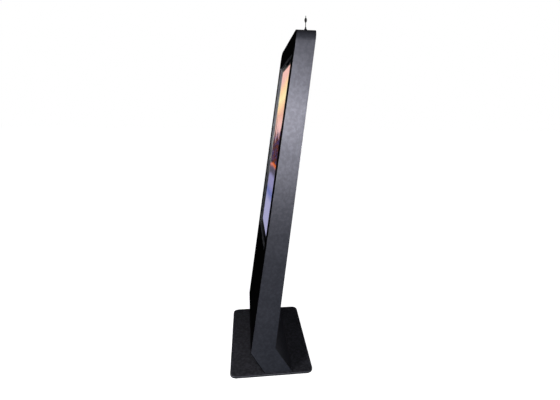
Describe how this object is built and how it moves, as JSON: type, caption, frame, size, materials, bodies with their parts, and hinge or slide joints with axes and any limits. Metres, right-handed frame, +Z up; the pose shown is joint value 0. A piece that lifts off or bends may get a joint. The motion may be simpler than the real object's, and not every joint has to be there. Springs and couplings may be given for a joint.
{
  "type": "touchscreen kiosk",
  "caption": "Free-standing leaning kiosk with a recessed portrait touch display, plate foot, rear service door, fans, mains inlet and a small antenna.",
  "frame": {"origin": "on the floor under the middle of the base plate", "axes": "+Z up, the screen faces -Y, X runs across the width with the antenna and the power inlet on the +X side"},
  "size_m": [0.71, 0.47, 1.8637],
  "materials": {
    "body_paint": "fine textured charcoal metallic powder coat",
    "black_paint": "satin black",
    "base_paint": "dark satin powder coat",
    "plated_steel": "zinc plated",
    "steel_fixings": "bright plated",
    "chrome_lock": "polished",
    "rubber": "matte",
    "foam": "closed-cell foam",
    "glass": "clear toughened glass",
    "lcd_metal": "grey painted housing",
    "picture": "lit picture",
    "circuit_board": "solder mask",
    "speaker_paper": "pressed paper cone and steel basket",
    "black_plastic": "fine texture",
    "black_rod": "black coated wire",
    "wire_steel": "plated",
    "brass_pins": "plated"
  },
  "bodies": {
    "kiosk": {"antenna_base": "black_plastic", "base_pads": "rubber", "base_plate": "base_paint", "base_screws": "steel_fixings", "cover_glass": "glass", "cross_bars": "plated_steel", "display_bezel": "black_paint", "display_board": "circuit_board", "door_jamb_left": "body_paint", "door_jamb_right": "body_paint", "electronics_tray": "plated_steel", "fan_frames": "black_plastic", "fan_guards": "wire_steel", "foot_flange": "plated_steel", "foot_front_panel": "black_paint", "foot_gusset_left": "plated_steel", "foot_gusset_right": "plated_steel", "foot_rear_panel": "body_paint", "frame_hinge_leaves": "steel_fixings", "front_lower_panel": "black_paint", "glass_gasket": "foam", "gusset_bolts": "steel_fixings", "hinge_pins": "steel_fixings", "inlet_pins": "brass_pins", "inlet_screws": "steel_fixings", "lcd_image": "picture", "lcd_panel": "lcd_metal", "lcd_screws": "steel_fixings", "media_player": "lcd_metal", "panel_screws": "steel_fixings", "post_ties": "plated_steel", "power_inlet": "black_plastic", "power_supply": "lcd_metal", "rear_lower_panel": "body_paint", "rear_post_left": "plated_steel", "rear_post_right": "plated_steel", "rear_upper_panel": "body_paint", "side_panel_left": "body_paint", "side_panel_right": "body_paint", "speakers": "speaker_paper", "switch_case": "black_plastic", "top_cap": "body_paint", "touch_frame": "body_paint", "upright_left": "plated_steel", "upright_right": "plated_steel"},
    "door": {"service_door": "body_paint", "door_hinge_leaves": "steel_fixings", "lock_body": "chrome_lock"},
    "lock": {"lock_plug": "chrome_lock", "lock_cam": "steel_fixings"},
    "fan_left": {"fan_rotor_left": "black_plastic"},
    "fan_right": {"fan_rotor_right": "black_plastic"},
    "switch": {"rocker": "black_plastic"},
    "swivel": {"antenna_swivel": "black_plastic"},
    "whip": {"antenna_whip": "black_rod", "antenna_bead": "black_plastic"}
  },
  "joints": [
    {"name": "door_hinge", "type": "hinge", "parent": "kiosk", "child": "door", "pos_m": [-0.301, 0.11831, 1.00612], "axis": [0, 0.1123, 0.9937], "range_deg": [0, 110]},
    {"name": "lock_turn", "type": "hinge", "parent": "door", "child": "lock", "pos_m": [0.272, 0.11334, 1.00669], "axis": [0, -0.9937, 0.1123], "range_deg": [0, 90]},
    {"name": "fan_left_spin", "type": "hinge", "parent": "kiosk", "child": "fan_left", "pos_m": [-0.13, 0.17623, 1.56314], "axis": [0, 0.9937, -0.1123], "continuous": true},
    {"name": "fan_right_spin", "type": "hinge", "parent": "kiosk", "child": "fan_right", "pos_m": [0.13, 0.17623, 1.56314], "axis": [0, 0.9937, -0.1123], "continuous": true},
    {"name": "switch_rock", "type": "hinge", "parent": "kiosk", "child": "switch", "pos_m": [0.176, 0.02811, 0.26154], "axis": [1, 0, 0], "range_deg": [0, 21]},
    {"name": "antenna_turn", "type": "hinge", "parent": "kiosk", "child": "swivel", "pos_m": [0.28, 0.16, 1.8], "axis": [0, 0, 1], "range_deg": [-170, 170]},
    {"name": "antenna_tilt", "type": "hinge", "parent": "swivel", "child": "whip", "pos_m": [0.28, 0.16, 1.812], "axis": [1, 0, 0], "range_deg": [-90, 90]}
  ]
}
